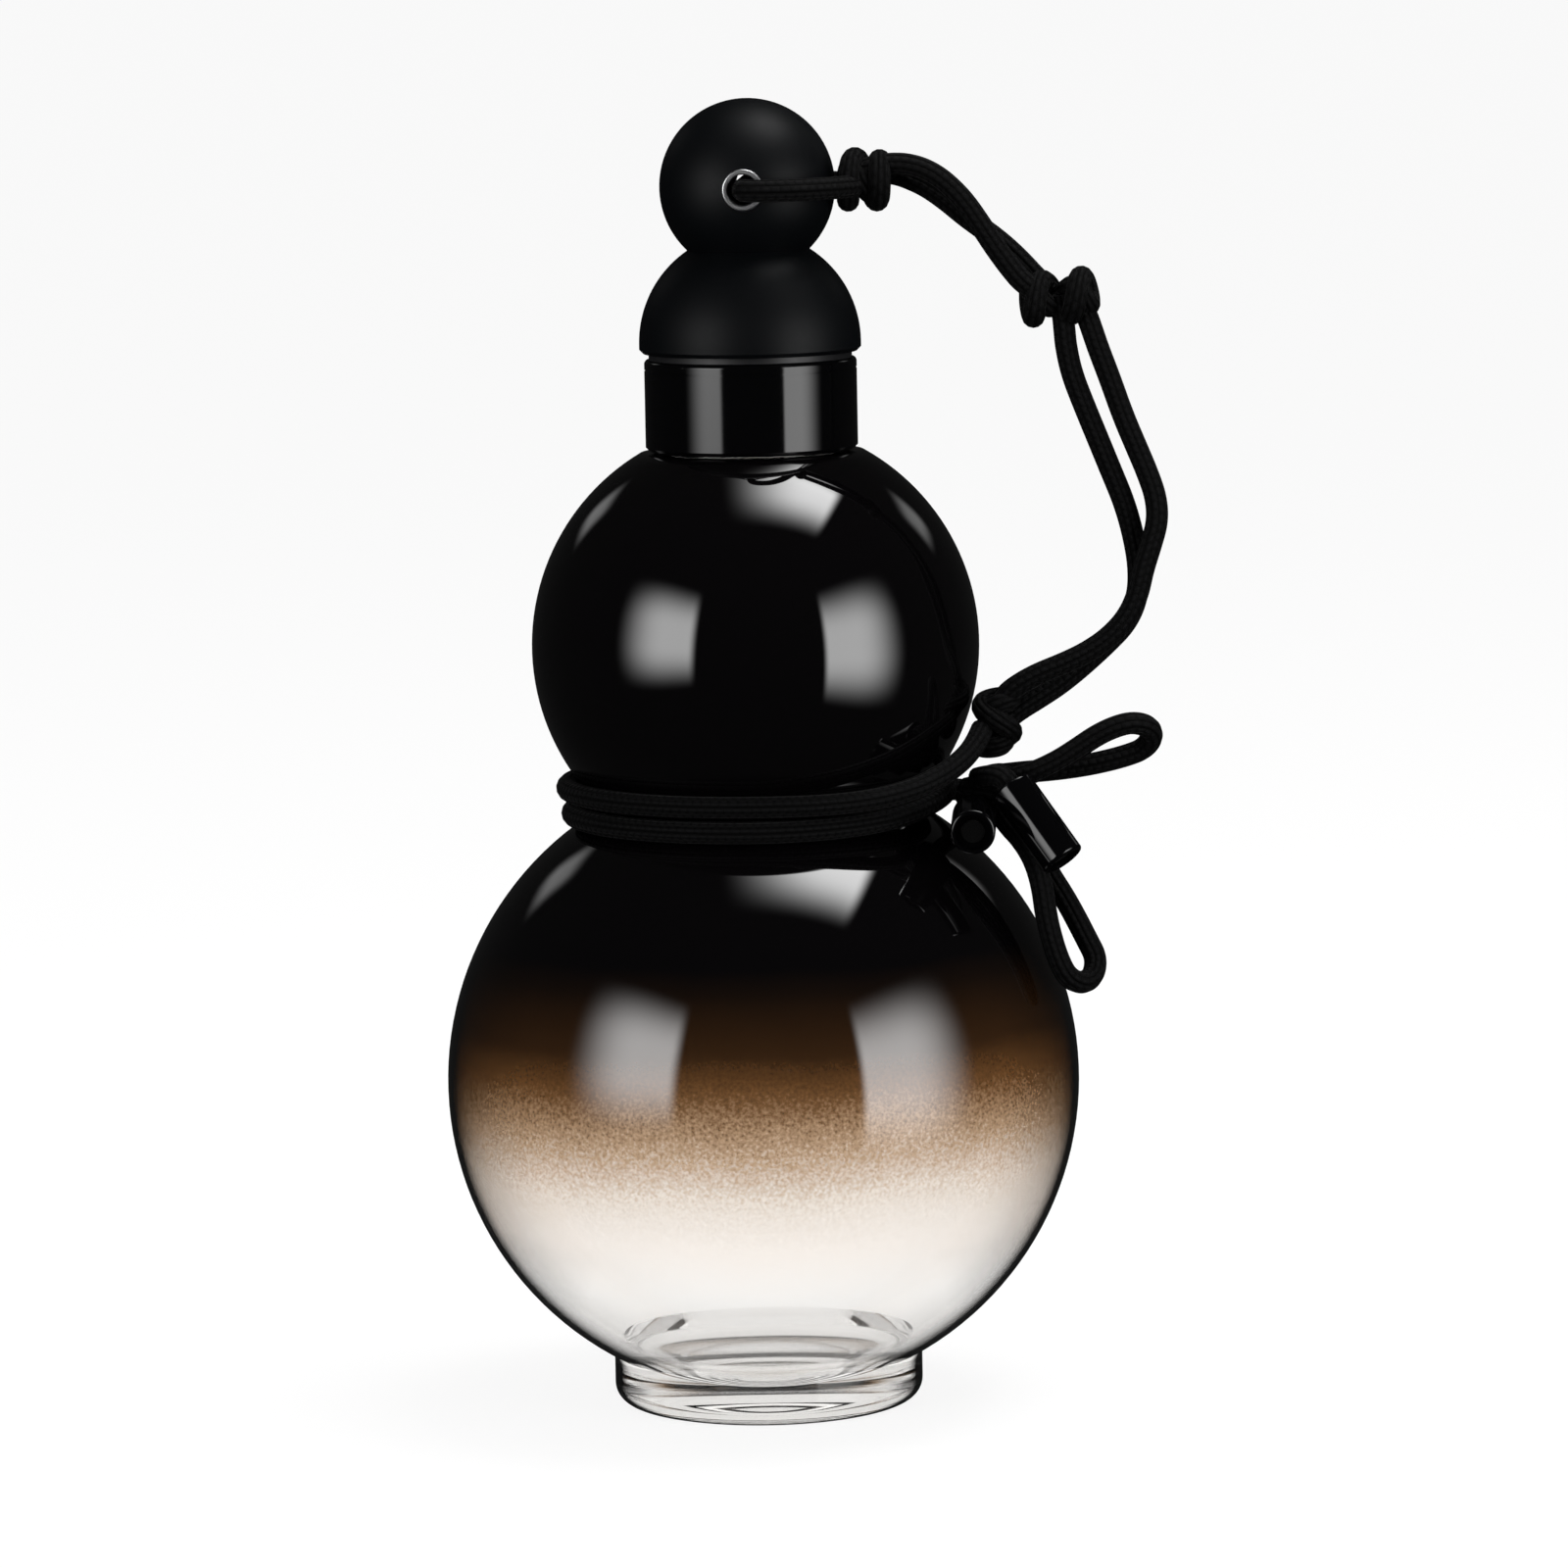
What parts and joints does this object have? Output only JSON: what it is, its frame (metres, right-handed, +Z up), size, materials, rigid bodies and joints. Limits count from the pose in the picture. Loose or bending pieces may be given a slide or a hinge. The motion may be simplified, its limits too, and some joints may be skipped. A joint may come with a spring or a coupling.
{
  "type": "gourd water bottle",
  "caption": "Gourd-shaped glass water bottle with a ball-topped screw cap, tethered by a knotted cord wound round its waist and tied in a bow.",
  "frame": {"origin": "middle of the foot's underside, on the bottle's axis", "axes": "+Z up along the bottle's axis towards the cap; -Y towards the viewer, where the ball's eyelet faces; +X towards the bow"},
  "size_m": [0.1105, 0.096, 0.1981],
  "materials": {
    "bottle_glass": "clear blown glass, sprayed black at the top and fading through brown speckle to clear at the foot",
    "crown_plastic": "matte soft-touch black",
    "collar_plating": "glossy black plated sleeve",
    "liner_plastic": "plain moulded black",
    "seal_silicone": "soft translucent white",
    "eyelet_steel": "polished metal",
    "cord_braid": "black round braid",
    "tip_metal": "glossy black plated tube"
  },
  "bodies": {
    "bottle": {"glass_body": "bottle_glass"},
    "lanyard": {"waist_wrap": "cord_braid", "waist_knot": "cord_braid", "bow_knot": "cord_braid", "bow_loop_upper": "cord_braid", "bow_loop_lower": "cord_braid", "bow_end_a": "cord_braid", "bow_end_b": "cord_braid", "cord_tip_a": "tip_metal", "cord_tip_b": "tip_metal", "tether_lower_a": "cord_braid", "tether_lower_b": "cord_braid"},
    "tether": {"middle_knot": "cord_braid", "tether_upper_a": "cord_braid", "tether_upper_b": "cord_braid"},
    "cap": {"cap_crown": "crown_plastic", "cap_collar": "collar_plating", "cap_liner": "liner_plastic", "mouth_seal": "seal_silicone", "eyelet_front": "eyelet_steel", "eyelet_back": "eyelet_steel", "ball_loop": "cord_braid", "ball_knot": "cord_braid"}
  },
  "joints": [
    {"name": "cap_turn", "type": "hinge", "parent": "bottle", "child": "lanyard", "pos_m": [0, 0, 0], "axis": [0, 0, 1], "range_deg": [0, 540]},
    {"name": "cap_lift_off", "type": "slide", "parent": "lanyard", "child": "tether", "axis": [0, 0, 1], "range_m": [0, 0.02], "deforming": ["tether_lower_a", "tether_lower_b"]},
    {"name": "cap_rise", "type": "slide", "parent": "tether", "child": "cap", "axis": [0, 0, 1], "range_m": [0, 0.006], "deforming": ["tether_upper_a", "tether_upper_b"]}
  ],
  "couplings": [
    {"joint": "cap_rise", "follows": "cap_turn", "m_per_rad": 0.00063}
  ]
}
